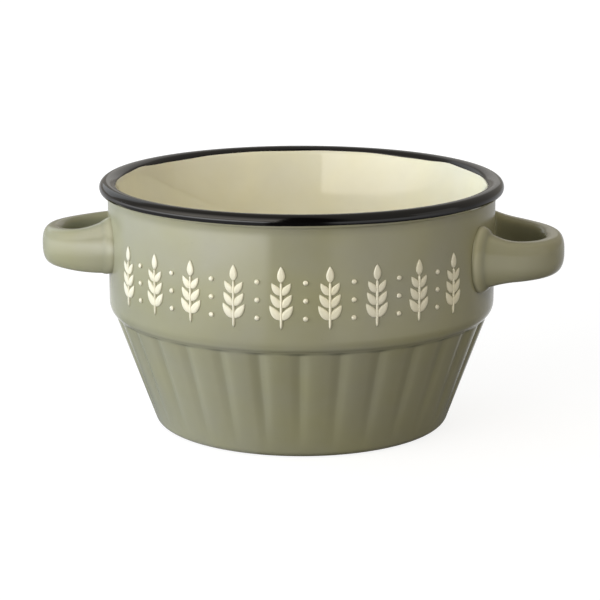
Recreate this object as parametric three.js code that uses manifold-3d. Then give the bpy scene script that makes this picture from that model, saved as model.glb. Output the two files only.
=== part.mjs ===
// A two-handled stoneware soup cup, in millimetres. It stands on z = 0 with +Z up, its axis on Z and its
// handles along X. The clay is a ribbed cup, two strap handles and the slip that lutes the handle roots to
// the cup. Coats of glaze lie over the clay: grey-green outside, cream inside and black over the lip.
import * as THREE from "three";
import { LoftGeometry } from "three/addons/geometries/LoftGeometry.js";
import { mergeVertices } from "three/addons/utils/BufferGeometryUtils.js";
import Module from "manifold-3d";

// Outside of the cup
const CUP_HEIGHT = 80; // from the table to the top of the lip
const BAND_RADIUS = 62.5; // the plain upright band that carries the handles
const BAND_BOTTOM = 41; // height at which the band starts to round under
const SHOULDER_DROP = 4.7; // from there down to the tops of the ribs
const SHOULDER_BEND = 0.3; // how high in that drop the rounding is tightest, as a share
const SHOULDER_INSET = 1.9; // from the band in to the tops of the ribs
const BASE_RADIUS = 47.3; // the ribbed wall, if it ran straight on down to the table
const BASE_CORNER = 3.1; // radius between the ribbed wall and the foot

// Ribs of the lower wall
const RIB_COUNT = 30;
const CREASE_DEPTH = 0.75; // of the crease between two ribs
const CREASE_RISE = 0.5; // from the base corner up to where the creases start
const CREASE_RUNOUT = 20; // height over which they deepen
const CREASE_POWER = 4; // 2 for ribs that are round between the creases, more for flatter ones
const GROOVE_DEPTH = 0.12; // of the line between the ribs and the shoulder
const GROOVE_HALF = 0.8; // half its height

// Lip
const LIP_ROLL = 2.2; // radius of the rolled outer edge
const UNDER_LIP = 0.35; // how far the roll's underside stands out from the band
const UNDER_FALL = 3.2; // height of the hollow between the band and the roll
const LIP_FALL = 3.5; // height of the rounding on the inner side

// Inside of the cup
const BAND_WALL = 3.4; // thickness of the wall below the lip
const RIB_WALL = 4.6; // thickness of the wall at the floor
const FLOOR_TOP = 6.6; // height of the floor inside
const FLOOR_CORNER = 9; // radius between the floor and the wall

// Foot
const FOOT_WIDTH = 5.4; // of the bare ring that the cup stands on
const FOOT_SLOPE = 1.2; // how far the ring's inner side leans in
const RECESS_DEPTH = 1.8; // of the glazed underside above the table
const RECESS_MARGIN = 0.6; // from the ring to the glaze of the underside
const BARE_FOOT = 0.3; // height at which the outer glaze stops

// Handles
const HANDLE_REACH = 22.4; // from the band to the outermost face
const HANDLE_SPAN = 45.6; // between the centre lines of a handle's two limbs
const HANDLE_POWER = 2.28; // squareness of the loop seen from above
const HANDLE_DROP = 22.6; // from the top of the lip down to the strap's centre line, at its outer end
const ROOT_RISE = 1.1; // how much higher that line is at the roots
const STRAP_THICKNESS = 7;
const STRAP_HEIGHT = 12.1; // at the outer end
const ROOT_GAIN = 3.8; // extra height of the strap at the roots
const STRAP_POWER = 2.6; // squareness of the strap's section
const ROOT_FLARE = 2.5; // radius of the flare where a limb meets the band
const ROOT_DEPTH = 1.5; // how far the limbs run on below the band before they are trimmed
const SLIP = 1; // thickness of the luting slip

// Glaze and clearances
const GLAZE = 0.5; // thickness of a coat
const COAT_GAP = 0.05; // between a coat and the clay under it
const SEAM_ANGLE = THREE.MathUtils.degToRad(5); // left open between two coats, round the lip
const RIM_SEAM = THREE.MathUtils.degToRad(-37); // where black meets grey-green, round the roll
const LIP_SEAM = THREE.MathUtils.degToRad(150); // where black meets cream, round the lip's inner side
const FIT_GAP = 0.3; // between luted pieces

// Fineness of the facets
const STEPS_PER_RIB = 3;
const LIP_STEPS = 4;
const CURVE_STEPS = 3;
const HANDLE_STEPS = 20;
const STRAP_SIDES = 12;
const LINER_SHARE = 0.5; // of the cup's facets round, for the pieces that lie inside it

const COLOURS = {
  clay: 0xcdbfa6,
  slip: 0xc4b59b,
  green: 0x8f8d74,
  cream: 0xe0d8bb,
  black: 0x1d1c1b,
};

const ribTopZ = BAND_BOTTOM - SHOULDER_DROP;
const ribTopRadius = BAND_RADIUS - SHOULDER_INSET;
const taper = Math.atan2(ribTopRadius - BASE_RADIUS, ribTopZ);
const rollRadius = BAND_RADIUS + UNDER_LIP;
const rollZ = CUP_HEIGHT - LIP_ROLL;
const lipWidth = UNDER_LIP + BAND_WALL;
const lipZ = CUP_HEIGHT - LIP_FALL;
const floorRadius = BASE_RADIUS + FLOOR_TOP * Math.tan(taper) - RIB_WALL / Math.cos(taper);
const innerTaper = Math.atan2(rollRadius - lipWidth - floorRadius, lipZ - FLOOR_TOP);
const clayDepth = GLAZE + COAT_GAP;
const roundSteps = RIB_COUNT * STEPS_PER_RIB;

const wasm = await Module();
wasm.setup();

// One ring of a turned piece: its radius, its height and how deep the creases are in it.
function ring(radius, height, crease = 0) {
  return { radius, height, crease };
}

// Rings along a round or elliptical edge.
function arcRings(radius, height, halfWidth, halfHeight, from, to, steps) {
  const curve = new THREE.EllipseCurve(radius, height, halfWidth, halfHeight, from, to, to < from);
  return curve.getPoints(steps).map((point) => ring(point.x, point.y));
}

// Rings along a bend that is tangent to its two legs.
function bendRings(start, corner, end, steps) {
  const points = [start, corner, end].map((place) => new THREE.Vector2(place.radius, place.height));
  const curve = new THREE.QuadraticBezierCurve(...points);
  return curve.getPoints(steps).map((point) => ring(point.x, point.y));
}

// The radius at which the corner between a level floor and a leaning wall has its centre.
function cornerCentre(wallRadius, cornerRadius, lean) {
  return wallRadius + (cornerRadius * (Math.sin(lean) - 1)) / Math.cos(lean);
}

// Rings of the ribbed wall at a height, at the tops of the ribs.
function wallRing(height, crease = 0) {
  return ring(BASE_RADIUS + height * Math.tan(taper), height, crease);
}

// The grey-green surface, from the glaze's lower edge up to the lip.
function outerRings() {
  const footAngle = Math.asin(BARE_FOOT / BASE_CORNER - 1);
  const footCentre = cornerCentre(BASE_RADIUS, BASE_CORNER, taper);
  const shoulderFoot = ring(ribTopRadius, ribTopZ + GROOVE_HALF);
  const shoulderRise = SHOULDER_BEND * (SHOULDER_DROP - GROOVE_HALF);
  const shoulderCorner = ring(BAND_RADIUS, shoulderFoot.height + shoulderRise);
  const creaseFoot = BASE_CORNER * (1 - Math.sin(taper)) + CREASE_RISE;
  return [
    ...arcRings(footCentre, BASE_CORNER, BASE_CORNER, BASE_CORNER, footAngle, -taper, CURVE_STEPS - 1),
    wallRing(creaseFoot),
    wallRing(creaseFoot + CREASE_RUNOUT, CREASE_DEPTH),
    wallRing(ribTopZ - GROOVE_HALF, CREASE_DEPTH),
    ring(ribTopRadius - GROOVE_DEPTH, ribTopZ, CREASE_DEPTH / 2),
    ...bendRings(shoulderFoot, shoulderCorner, ring(BAND_RADIUS, BAND_BOTTOM), CURVE_STEPS),
    ring(BAND_RADIUS, CUP_HEIGHT - LIP_ROLL * 2 - UNDER_FALL),
    ...rollRings(-Math.PI / 2, RIM_SEAM - SEAM_ANGLE, CURVE_STEPS - 1),
  ];
}

// Rings round the outer side of the lip, and round its inner side.
function rollRings(from, to, steps) {
  return arcRings(rollRadius, rollZ, LIP_ROLL, LIP_ROLL, from, to, steps);
}
function fallRings(from, to, steps) {
  return arcRings(rollRadius, lipZ, lipWidth, LIP_FALL, from, to, steps);
}

// The black surface, over the roll and a little way down inside.
function rimRings() {
  const top = Math.PI / 2;
  return [
    ...rollRings(RIM_SEAM, top, LIP_STEPS),
    ...fallRings(top, LIP_SEAM, CURVE_STEPS - 1).slice(1),
  ];
}

// The cream surface, from the lip down the conical inner wall to the middle of the floor.
function innerRings() {
  const coneAngle = Math.PI - Math.atan((Math.tan(innerTaper) * LIP_FALL) / lipWidth);
  const lip = fallRings(LIP_SEAM + SEAM_ANGLE, coneAngle, 1);
  const coneTop = lip[lip.length - 1];
  const coneFoot = coneTop.radius - (coneTop.height - FLOOR_TOP) * Math.tan(innerTaper);
  const corner = cornerCentre(coneFoot, FLOOR_CORNER, innerTaper);
  const cornerZ = FLOOR_TOP + FLOOR_CORNER;
  return [
    ...lip,
    ...arcRings(corner, cornerZ, FLOOR_CORNER, FLOOR_CORNER, -innerTaper, -Math.PI / 2, CURVE_STEPS),
    ring(0, FLOOR_TOP),
  ];
}

// The same rings sunk below the surface, square to it. Of a ring's two neighbours, the nearer counts
// for more.
function sunk(rings, depth) {
  const places = rings.map((place) => new THREE.Vector2(place.radius, place.height));
  const last = rings.length - 1;
  return rings.map((here, index) => {
    const behind = places[index].clone().sub(places[Math.max(index - 1, 0)]);
    const ahead = places[Math.min(index + 1, last)].clone().sub(places[index]);
    const along = new THREE.Vector2();
    along.addScaledVector(behind, index < last ? ahead.lengthSq() : 1);
    along.addScaledVector(ahead, index > 0 ? behind.lengthSq() : 1);
    along.normalize();
    return ring(here.radius - depth * along.y, here.height + depth * along.x, here.crease);
  });
}

// How much of a crease's depth there is at an angle round the axis: 1 in a crease, 0 on a rib.
function creaseShare(angle) {
  const pitch = (Math.PI * 2) / RIB_COUNT;
  const place = THREE.MathUtils.euclideanModulo(angle, pitch) / pitch;
  return Math.abs(place * 2 - 1) ** CREASE_POWER;
}

// A turned piece from its rings, with the creases pressed in and the axis stood upright.
function turned(rings, steps = roundSteps) {
  const profile = rings.map((place) => new THREE.Vector2(place.radius, place.height));
  const geometry = new THREE.LatheGeometry(profile, steps, Math.PI / RIB_COUNT);
  geometry.rotateX(Math.PI / 2);
  const position = geometry.attributes.position;
  for (let index = 0; index < position.count; index += 1) {
    const { radius, crease } = rings[index % rings.length];
    if (crease > 0) {
      const x = position.getX(index);
      const y = position.getY(index);
      const scale = 1 - (crease * creaseShare(Math.atan2(y, x))) / radius;
      position.setXY(index, x * scale, y * scale);
    }
  }
  return geometry;
}

// A smooth coat over part of the surface: out along that surface and back along the one under the coat.
function coatRings(over, under) {
  return [...over, ...under.toReversed(), over[0]];
}

// A coat over creased rings: the solid inside the coat's surface, less the solid under the coat.
function creasedCoat(over, under) {
  const foot = under[0];
  const head = under[under.length - 1];
  const whole = [ring(0, foot.height), foot, ...over, head, ring(0, head.height)];
  const plug = [
    ring(0, foot.height - CUP_HEIGHT),
    ring(foot.radius, foot.height - CUP_HEIGHT),
    ...under,
    ring(head.radius, head.height + CUP_HEIGHT),
    ring(0, head.height + CUP_HEIGHT),
  ];
  return bodyOf(turned(whole)).subtract(bodyOf(turned(plug)));
}

// A closed body that can be joined and cut.
function bodyOf(geometry) {
  const bare = new THREE.BufferGeometry().copy(geometry);
  bare.deleteAttribute("normal");
  bare.deleteAttribute("uv");
  const merged = mergeVertices(bare);
  const mesh = new wasm.Mesh({
    numProp: 3,
    vertProperties: new Float32Array(merged.attributes.position.array),
    triVerts: new Uint32Array(merged.index.array),
  });
  return new wasm.Manifold(mesh);
}

// The geometry of a body that was joined or cut.
function geometryOf(body) {
  const mesh = body.getMesh();
  const geometry = new THREE.BufferGeometry();
  geometry.setAttribute("position", new THREE.BufferAttribute(mesh.vertProperties, 3));
  geometry.setIndex(new THREE.BufferAttribute(mesh.triVerts, 1));
  geometry.computeVertexNormals();
  return geometry;
}

// A solid post about the axis, with the facets of the band, that trims what is luted to it.
function post(radius) {
  const rings = [ring(0, 0), ring(radius, 0), ring(radius, CUP_HEIGHT), ring(0, CUP_HEIGHT)];
  return bodyOf(turned(rings));
}

// A value in step with a superellipse's cosine or sine.
function superPower(value, power) {
  return Math.sign(value) * Math.abs(value) ** (2 / power);
}

const limbOuter = HANDLE_SPAN / 2 + STRAP_THICKNESS / 2 + ROOT_FLARE;
const rootX = Math.sqrt(BAND_RADIUS ** 2 - limbOuter ** 2) - ROOT_DEPTH;
const apexX = BAND_RADIUS + HANDLE_REACH - STRAP_THICKNESS / 2;

// The strap's centre line seen from above, from the back root (-1) round to the front root (1).
function strapLine(share) {
  const turn = (-share * Math.PI) / 2;
  const x = rootX + (apexX - rootX) * superPower(Math.cos(turn), HANDLE_POWER);
  const y = (HANDLE_SPAN / 2) * superPower(Math.sin(turn), HANDLE_POWER);
  return new THREE.Vector2(x, y);
}

// How much the strap widens beside the band, as a quarter round.
function flareAt(distance) {
  const left = THREE.MathUtils.clamp(1 - distance / ROOT_FLARE, 0, 1);
  return ROOT_FLARE * (1 - Math.sqrt(1 - left ** 2));
}

// One section of a handle, square to its centre line, inset from the glazed surface.
function strapSection(share, inset) {
  const step = 1 / HANDLE_STEPS;
  const centre = strapLine(share);
  const ahead = strapLine(Math.min(share + step, 1));
  const behind = strapLine(Math.max(share - step, -1));
  const along = ahead.sub(behind).normalize();
  const rootShare = ((apexX - centre.x) / (apexX - rootX)) ** 2;
  const middle = CUP_HEIGHT - HANDLE_DROP + ROOT_RISE * rootShare;
  const flare = flareAt(centre.length() - BAND_RADIUS);
  const halfThickness = STRAP_THICKNESS / 2 + flare - inset;
  const halfHeight = (STRAP_HEIGHT + ROOT_GAIN * rootShare) / 2 + flare - inset;
  return Array.from({ length: STRAP_SIDES }, (_, side) => {
    const angle = (side / STRAP_SIDES) * Math.PI * 2;
    const across = halfThickness * superPower(Math.cos(angle), STRAP_POWER);
    const up = halfHeight * superPower(Math.sin(angle), STRAP_POWER);
    return new THREE.Vector3(centre.x + along.y * across, centre.y - along.x * across, middle + up);
  });
}

// A whole handle on the +X side, run on below the band and inset from the glazed surface.
function strapGeometry(inset) {
  const sections = Array.from({ length: HANDLE_STEPS + 1 }, (_, step) => {
    return strapSection((step / HANDLE_STEPS) * 2 - 1, inset).toReversed();
  });
  return new LoftGeometry(sections, { capStart: true, capEnd: true });
}

// The half of space in front of the axis, or behind it, that splits the slip of a handle in two.
function halfSpace(side) {
  const size = (BAND_RADIUS + HANDLE_REACH) * 2;
  return bodyOf(new THREE.BoxGeometry(size * 2, size, size * 2).translate(0, (side * size) / 2, 0));
}

function finish(color, roughness) {
  return new THREE.MeshStandardMaterial({ color, roughness, metalness: 0 });
}

function piece(name, geometry, color, roughness) {
  const mesh = new THREE.Mesh(geometry, finish(color, roughness));
  mesh.name = name;
  return mesh;
}

// The cup: clay and coats follow one surface that runs up outside, over the lip and down inside.
const outer = outerRings();
const rim = rimRings();
const inner = innerRings();
const surface = [...outer, ...rim, ...inner];
const rimStart = outer.length;
const innerStart = rimStart + rim.length;
const underCoat = sunk(surface, GLAZE);
const clay = sunk(surface, clayDepth);

const footOuter = cornerCentre(BASE_RADIUS, BASE_CORNER, taper);
const footInner = footOuter - FOOT_WIDTH;
const recessRadius = footInner - FOOT_SLOPE;
const recessTop = RECESS_DEPTH + clayDepth;
const bodyRings = [
  ring(0, recessTop),
  ring(recessRadius, recessTop),
  ring(footInner, 0),
  ring(footOuter, 0),
  ...clay,
];
const baseRadius = recessRadius - RECESS_MARGIN;
const baseRings = [
  ring(0, RECESS_DEPTH),
  ring(baseRadius, RECESS_DEPTH),
  ring(baseRadius, RECESS_DEPTH + GLAZE),
  ring(0, RECESS_DEPTH + GLAZE),
];
const outerCoat = creasedCoat(surface.slice(0, rimStart), underCoat.slice(0, rimStart));
const rimCoat = coatRings(surface.slice(rimStart, innerStart), underCoat.slice(rimStart, innerStart));
const innerCoat = [...surface.slice(innerStart), ...underCoat.slice(innerStart).toReversed()];
innerCoat.push(innerCoat[0]);

// The handle on the +X side, from the clay wall outwards: slip, strap and the strap's own coat.
const strap = bodyOf(strapGeometry(clayDepth));
const slipFoot = BAND_RADIUS - clayDepth + FIT_GAP;
const slipTop = slipFoot + SLIP;
const slipRing = post(slipTop).subtract(post(slipFoot));
const slipPads = strap.intersect(slipRing);
const handleCore = strap.subtract(post(slipTop + FIT_GAP));
const sleeve = bodyOf(strapGeometry(0)).subtract(bodyOf(strapGeometry(GLAZE)));
const handleCoat = sleeve.subtract(post(BAND_RADIUS + FIT_GAP));

// The outer coat leaves a window round each root, where slip and strap reach the clay.
const windowGeometry = strapGeometry(clayDepth - FIT_GAP);
const rightWindow = bodyOf(windowGeometry);
const leftWindow = bodyOf(windowGeometry.rotateZ(Math.PI));
const outerGlaze = outerCoat.subtract(rightWindow).subtract(leftWindow);

const cup = new THREE.Group();
cup.name = "soup_cup";
const linerSteps = roundSteps * LINER_SHARE;
cup.add(piece("stoneware_body", turned(bodyRings), COLOURS.clay, 0.8));
cup.add(piece("outer_glaze", geometryOf(outerGlaze), COLOURS.green, 0.25));
cup.add(piece("rim_glaze", turned(rimCoat), COLOURS.black, 0.15));
cup.add(piece("inner_glaze", turned(innerCoat, linerSteps), COLOURS.cream, 0.25));
cup.add(piece("base_glaze", turned(baseRings, linerSteps), COLOURS.green, 0.35));

// A handle's frame is turned half round for the left side, so its front root is then at the back.
for (const side of [
  { name: "right", turn: 0, minusY: "front", plusY: "back" },
  { name: "left", turn: Math.PI, minusY: "back", plusY: "front" },
]) {
  const handle = new THREE.Group();
  handle.name = `${side.name}_side`;
  handle.rotation.z = side.turn;
  handle.add(piece(`${side.name}_handle`, geometryOf(handleCore), COLOURS.clay, 0.8));
  handle.add(piece(`${side.name}_handle_glaze`, geometryOf(handleCoat), COLOURS.green, 0.25));
  const frontPad = slipPads.intersect(halfSpace(-1));
  const backPad = slipPads.intersect(halfSpace(1));
  handle.add(piece(`${side.name}_${side.minusY}_slip`, geometryOf(frontPad), COLOURS.slip, 0.9));
  handle.add(piece(`${side.name}_${side.plusY}_slip`, geometryOf(backPad), COLOURS.slip, 0.9));
  cup.add(handle);
}

export default cup;
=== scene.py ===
"""The looks of a two-handled stoneware soup cup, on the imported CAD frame.

Surfaces are grids of points worked out from formulas in millimetres, +Z up, with the handles along X and
the viewer on the -Y side. The classes are the cup's sub-assemblies, its finishes, its studio and the tools
that these share.
"""

import logging
import math
from dataclasses import dataclass, field
from enum import Enum

import bpy
import numpy as np
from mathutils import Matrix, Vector


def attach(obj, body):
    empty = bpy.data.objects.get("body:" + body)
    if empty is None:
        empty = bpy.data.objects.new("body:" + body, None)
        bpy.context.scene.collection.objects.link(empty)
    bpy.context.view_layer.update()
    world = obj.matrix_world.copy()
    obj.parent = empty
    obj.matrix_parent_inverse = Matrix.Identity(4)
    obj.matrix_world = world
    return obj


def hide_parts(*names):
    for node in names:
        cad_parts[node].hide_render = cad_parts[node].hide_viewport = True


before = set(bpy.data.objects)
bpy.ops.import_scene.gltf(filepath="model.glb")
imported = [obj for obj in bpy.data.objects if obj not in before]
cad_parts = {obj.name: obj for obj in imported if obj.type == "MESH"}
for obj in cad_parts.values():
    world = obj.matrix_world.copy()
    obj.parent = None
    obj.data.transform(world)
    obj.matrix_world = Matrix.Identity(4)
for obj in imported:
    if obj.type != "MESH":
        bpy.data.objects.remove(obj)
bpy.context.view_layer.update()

MM = 0.001
LOG = logging.getLogger("soup_cup")

Pair = tuple[float, float]
Triple = tuple[float, float, float]
Socket = bpy.types.NodeSocket


class Slot(Enum):
    """The record's material slots."""

    CLAY = "clay"
    GREEN = "green_glaze"
    CREAM = "cream_glaze"
    BLACK = "black_glaze"


def linear(hex_colour: str) -> tuple[float, float, float, float]:
    """Turns a written sRGB colour into linear light.

    Args:
        hex_colour: the colour as six hex digits, such as "8f8d74".

    Returns:
        Linear red, green and blue, and an alpha of 1.
    """
    parts = np.array([int(hex_colour[i : i + 2], 16) for i in (0, 2, 4)]) / 255
    values = np.where(parts <= 0.04045, parts / 12.92, ((parts + 0.055) / 1.055) ** 2.4)
    return (*values.tolist(), 1.0)


def smooth(value: np.ndarray) -> np.ndarray:
    """Eases a share from 0 to 1, flat at both ends: three times its square less twice its cube."""
    share = np.clip(value, 0.0, 1.0)
    return share * share * (3.0 - 2.0 * share)


def super_power(value: np.ndarray, power: float) -> np.ndarray:
    """A cosine or sine to the power of 2 / power, with its sign: their circle becomes a superellipse."""
    return np.sign(value) * np.abs(value) ** (2.0 / power)


@dataclass(frozen=True)
class Bell:
    """A bell curve: its height, where its middle is and how wide it is."""

    height: float
    middle: float
    width: float

    def at(self, value: np.ndarray) -> np.ndarray:
        """Its value at a place: the height times e to the minus square of the distance in widths."""
        return self.height * np.exp(-(((value - self.middle) / self.width) ** 2))


@dataclass
class Skin:
    """A grid of points in millimetres that closes on itself round its columns.

    Attributes:
        points: rows x columns x 3.
        loop: whether the last row also joins the first, as round a ring.
        tones: values kept on the points for the material, rows x columns each.
    """

    points: np.ndarray
    loop: bool = False
    tones: dict[str, np.ndarray] = field(default_factory=dict)

    def quads(self) -> np.ndarray:
        """Corner numbers of the grid's faces, each between two rows and two columns.

        Returns:
            Four corners a face.
        """
        rows, columns = self.points.shape[:2]
        row = np.arange(rows if self.loop else rows - 1)[:, None]
        column = np.arange(columns)[None, :]
        after = (column + 1) % columns
        above = (row + 1) % rows
        low, high = row * columns, above * columns
        corners = [low + column, low + after, high + after, high + column]
        return np.stack(np.broadcast_arrays(*corners), axis=-1).reshape(-1, 4)

    def cap(self, row: int, middle: int) -> np.ndarray:
        """Triangles that close an end row to a middle point.

        Args:
            row: the row, 0 or -1.
            middle: the number of the middle point.

        Returns:
            Three corners a triangle.
        """
        rows, columns = self.points.shape[:2]
        first = (row % rows) * columns
        here = first + np.arange(columns)
        after = first + (np.arange(columns) + 1) % columns
        centre = np.full(columns, middle)
        order = [after, here, centre] if row == 0 else [here, after, centre]
        return np.stack(order, axis=-1)

    def solid(self) -> tuple[np.ndarray, np.ndarray, np.ndarray, dict[str, np.ndarray]]:
        """The closed surface.

        Returns:
            Its points, its quads, its triangles and its tones, with the faces turned outwards.
        """
        columns = self.points.shape[1]
        points = self.points.reshape(-1, 3)
        tones = {name: tone.reshape(-1) for name, tone in self.tones.items()}
        quads = self.quads()
        triangles = np.zeros((0, 3), dtype=int)
        if not self.loop:
            middles = np.stack([self.points[0].mean(axis=0), self.points[-1].mean(axis=0)])
            count = len(points)
            triangles = np.concatenate([self.cap(0, count), self.cap(-1, count + 1)])
            points = np.concatenate([points, middles])
            ends = [0, count - columns]
            tones = {name: np.concatenate([tone, tone[ends]]) for name, tone in tones.items()}
        fan = np.concatenate([quads[:, [0, 1, 2]], quads[:, [0, 2, 3]], triangles])
        corner = points[fan]
        if np.einsum("ij,ij->", np.cross(corner[:, 0], corner[:, 1]), corner[:, 2]) < 0:
            quads, triangles = quads[:, ::-1], triangles[:, ::-1]
        return points, quads, triangles, tones


def make_piece(
    name: str, skins: list[Skin], material: bpy.types.Material, nodes: list[str]
) -> None:
    """Puts closed skins into the scene as one piece that rides on the cup.

    Args:
        name: the piece's name.
        skins: its closed surfaces.
        material: its finish.
        nodes: the CAD nodes that it stands for.
    """
    points, faces, tones, count = [], [], {}, 0
    for skin in skins:
        where, quads, triangles, values = skin.solid()
        faces += (quads + count).tolist() + (triangles + count).tolist()
        points.append(where * MM)
        for key, value in values.items():
            tones.setdefault(key, []).append(value)
        count += len(where)
    mesh = bpy.data.meshes.new(name)
    mesh.from_pydata(np.concatenate(points).tolist(), [], faces)
    for key, values in tones.items():
        tone = mesh.attributes.new(key, "FLOAT", "POINT")
        tone.data.foreach_set("value", np.concatenate(values).astype(np.float32))
    mesh.shade_smooth()
    mesh.materials.append(material)
    piece = bpy.data.objects.new(name, mesh)
    bpy.context.scene.collection.objects.link(piece)
    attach(piece, "root")
    if nodes:
        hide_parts(*nodes)
    LOG.info("%s: %d points, %d faces", name, count, len(faces))


class NodeBench:
    """Adds and joins shader nodes in one tree."""

    def __init__(self, tree: bpy.types.NodeTree) -> None:
        """Takes the tree to work in."""
        self.tree = tree

    def add(
        self, kind: str, inputs: dict[str | int, object] | None = None, **settings: object
    ) -> bpy.types.Node:
        """Adds a node.

        Args:
            kind: Blender's name for it.
            inputs: for each input, a value or the socket that feeds it.
            settings: the node's own properties.

        Returns:
            The new node.
        """
        node = self.tree.nodes.new(kind)
        for key, value in settings.items():
            setattr(node, key, value)
        for key, value in (inputs or {}).items():
            if isinstance(value, Socket):
                self.tree.links.new(value, node.inputs[key])
            else:
                node.inputs[key].default_value = value
        return node

    def math(self, operation: str, *values: object) -> Socket:
        """One sum on numbers or sockets."""
        return self.add("ShaderNodeMath", dict(enumerate(values)), operation=operation).outputs[0]

    def mix(self, share: object, first: object, second: object, blend: str = "MIX") -> Socket:
        """A colour between two, by a share."""
        inputs = {0: share, 6: first, 7: second}
        return self.add("ShaderNodeMix", inputs, data_type="RGBA", blend_type=blend).outputs[2]

    def product(self, *values: object) -> Socket:
        """Multiplies numbers or sockets together, from left to right.

        Args:
            values: the numbers or sockets, two or more.

        Returns:
            The socket that holds the product.
        """
        total = values[0]
        for value in values[1:]:
            total = self.math("MULTIPLY", total, value)
        return total

    def place(self) -> Socket:
        """The object's own coordinates."""
        return self.add("ShaderNodeTexCoord").outputs["Object"]

    def turn(self, place: Socket) -> tuple[Socket, Socket]:
        """Which way a place or direction is, in radians right of the front, and how high it is."""
        part = self.add("ShaderNodeSeparateXYZ", {0: place}).outputs
        return self.math("ARCTAN2", part[0], self.math("MULTIPLY", part[1], -1.0)), part[2]

    def away(self, place: Socket) -> Socket:
        """How far a place is from the origin."""
        return self.add("ShaderNodeVectorMath", {0: place}, operation="LENGTH").outputs["Value"]

    def noise(self, scale: float, detail: float = 2.0, roughness: float = 0.5) -> Socket:
        """A cloud of values about 0.5 on the object's own coordinates."""
        inputs = {"Vector": self.place(), "Scale": scale, "Detail": detail, "Roughness": roughness}
        return self.add("ShaderNodeTexNoise", inputs).outputs["Fac"]

    def ramp(self, value: object, low: float, high: float, start: object, end: object) -> Socket:
        """Maps a value from low..high to start..end and holds it there."""
        inputs = {0: value, 1: low, 2: high, 3: start, 4: end}
        return self.add("ShaderNodeMapRange", inputs).outputs[0]

    def between(self, turn: object, edges: Pair, start: object, end: object) -> Socket:
        """A value that goes from a start to an end between two angles, given in degrees."""
        return self.ramp(turn, math.radians(edges[0]), math.radians(edges[1]), start, end)


def new_material(name: str) -> tuple[bpy.types.Material, NodeBench]:
    """Makes an empty material.

    Args:
        name: what it is called.

    Returns:
        The material and the bench for its nodes.
    """
    made = bpy.data.materials.new(name)
    made.use_nodes = True
    made.node_tree.nodes.clear()
    return made, NodeBench(made.node_tree)


@dataclass(frozen=True)
class GlazeGroup:
    """The shader group that all the glazes share: colour by thickness and by painted light and shade, gloss
    and ripple.

    Attributes:
        name: the group's name.
        cloud: how much the brightness drifts over a finger's breadth.
        hue: how far the colour drifts there between yellower and greyer.
        specks: how dark the fine iron specks are.
        pores: height of the fine pores, as a share of the ripple's.
        drift: how much the roughness drifts.
        scales: how fine drift, clouds, hues, specks, ripple and pores are, per metre.
        noise_range: values of the noise between which the clouds and hues go from one end to the other.
        speck_range: values of the noise between which a speck appears.
    """

    name: str = "glaze_tone"
    cloud: float = 0.05
    hue: float = 0.25
    specks: float = 0.25
    pores: float = 0.08
    drift: float = 0.12
    scales: tuple[float, ...] = (45.0, 28.0, 60.0, 900.0, 70.0, 420.0)
    noise_range: Pair = (0.3, 0.7)
    speck_range: Pair = (0.74, 0.8)

    def tree(self) -> bpy.types.NodeTree:
        """Builds the group, or finds the one that is there.

        The colour goes from the body to the thin or the pool colour by the piece's own attribute, which
        holds how thin or thick the glaze is and also painted light and shade, and noise makes it drift.

        Returns:
            The group's node tree.
        """
        if self.name in bpy.data.node_groups:
            return bpy.data.node_groups[self.name]
        tree = bpy.data.node_groups.new(self.name, "ShaderNodeTree")
        sockets = {
            ("INPUT", "NodeSocketColor"): ("Body", "Thin", "Pool"),
            ("INPUT", "NodeSocketFloat"): ("Gloss", "Specks"),
            ("OUTPUT", "NodeSocketColor"): ("Colour",),
            ("OUTPUT", "NodeSocketFloat"): ("Roughness", "Height"),
        }
        for (way, kind), labels in sockets.items():
            for label in labels:
                tree.interface.new_socket(label, in_out=way, socket_type=kind)
        bench = NodeBench(tree)
        given = bench.add("NodeGroupInput").outputs
        drift_scale, cloud_scale, hue_scale, speck_scale, ripple_scale, pore_scale = self.scales
        # The attribute holds the glaze's thickness and also painted highlights and painted shade.
        depth = bench.add("ShaderNodeAttribute", attribute_name="thin").outputs["Fac"]
        drift = bench.math("MULTIPLY", bench.math("SUBTRACT", bench.noise(drift_scale, 3.0), 0.5), 0.5)
        edge = bench.math("ADD", depth, bench.math("MULTIPLY", drift, bench.math("ABSOLUTE", depth)))
        colour = bench.mix(bench.ramp(edge, 0.0, 1.0, 0.0, 1.0), given["Body"], given["Thin"])
        colour = bench.mix(bench.ramp(edge, -1.0, 0.0, 1.0, 0.0), colour, given["Pool"])
        ends = (1.0 - self.cloud, 1.0 + self.cloud)
        cloud = bench.ramp(bench.noise(cloud_scale, 4.0, 0.6), *self.noise_range, *ends)
        grey = bench.add("ShaderNodeCombineColor", {0: cloud, 1: cloud, 2: cloud}).outputs[0]
        colour = bench.mix(1.0, colour, grey, "MULTIPLY")
        ends = (1.0 - self.hue / 2, 1.0 + self.hue / 2)
        patch = bench.ramp(bench.noise(hue_scale, 2.0), *self.noise_range, *ends)
        colour = bench.add("ShaderNodeHueSaturation", {"Saturation": patch, "Color": colour}).outputs[0]
        speck = bench.ramp(bench.noise(speck_scale, 1.0), *self.speck_range, 0.0, self.specks)
        speck = bench.math("MULTIPLY", speck, given["Specks"])
        colour = bench.mix(speck, colour, given["Pool"])
        ripple = bench.noise(ripple_scale, 2.0)
        pores = bench.math("MULTIPLY", bench.noise(pore_scale, 2.0), self.pores)
        rough = bench.math("ADD", given["Gloss"], bench.math("MULTIPLY", drift, self.drift))
        inputs = {"Colour": colour, "Roughness": rough, "Height": bench.math("ADD", ripple, pores)}
        bench.add("NodeGroupOutput", inputs)
        return tree


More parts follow.
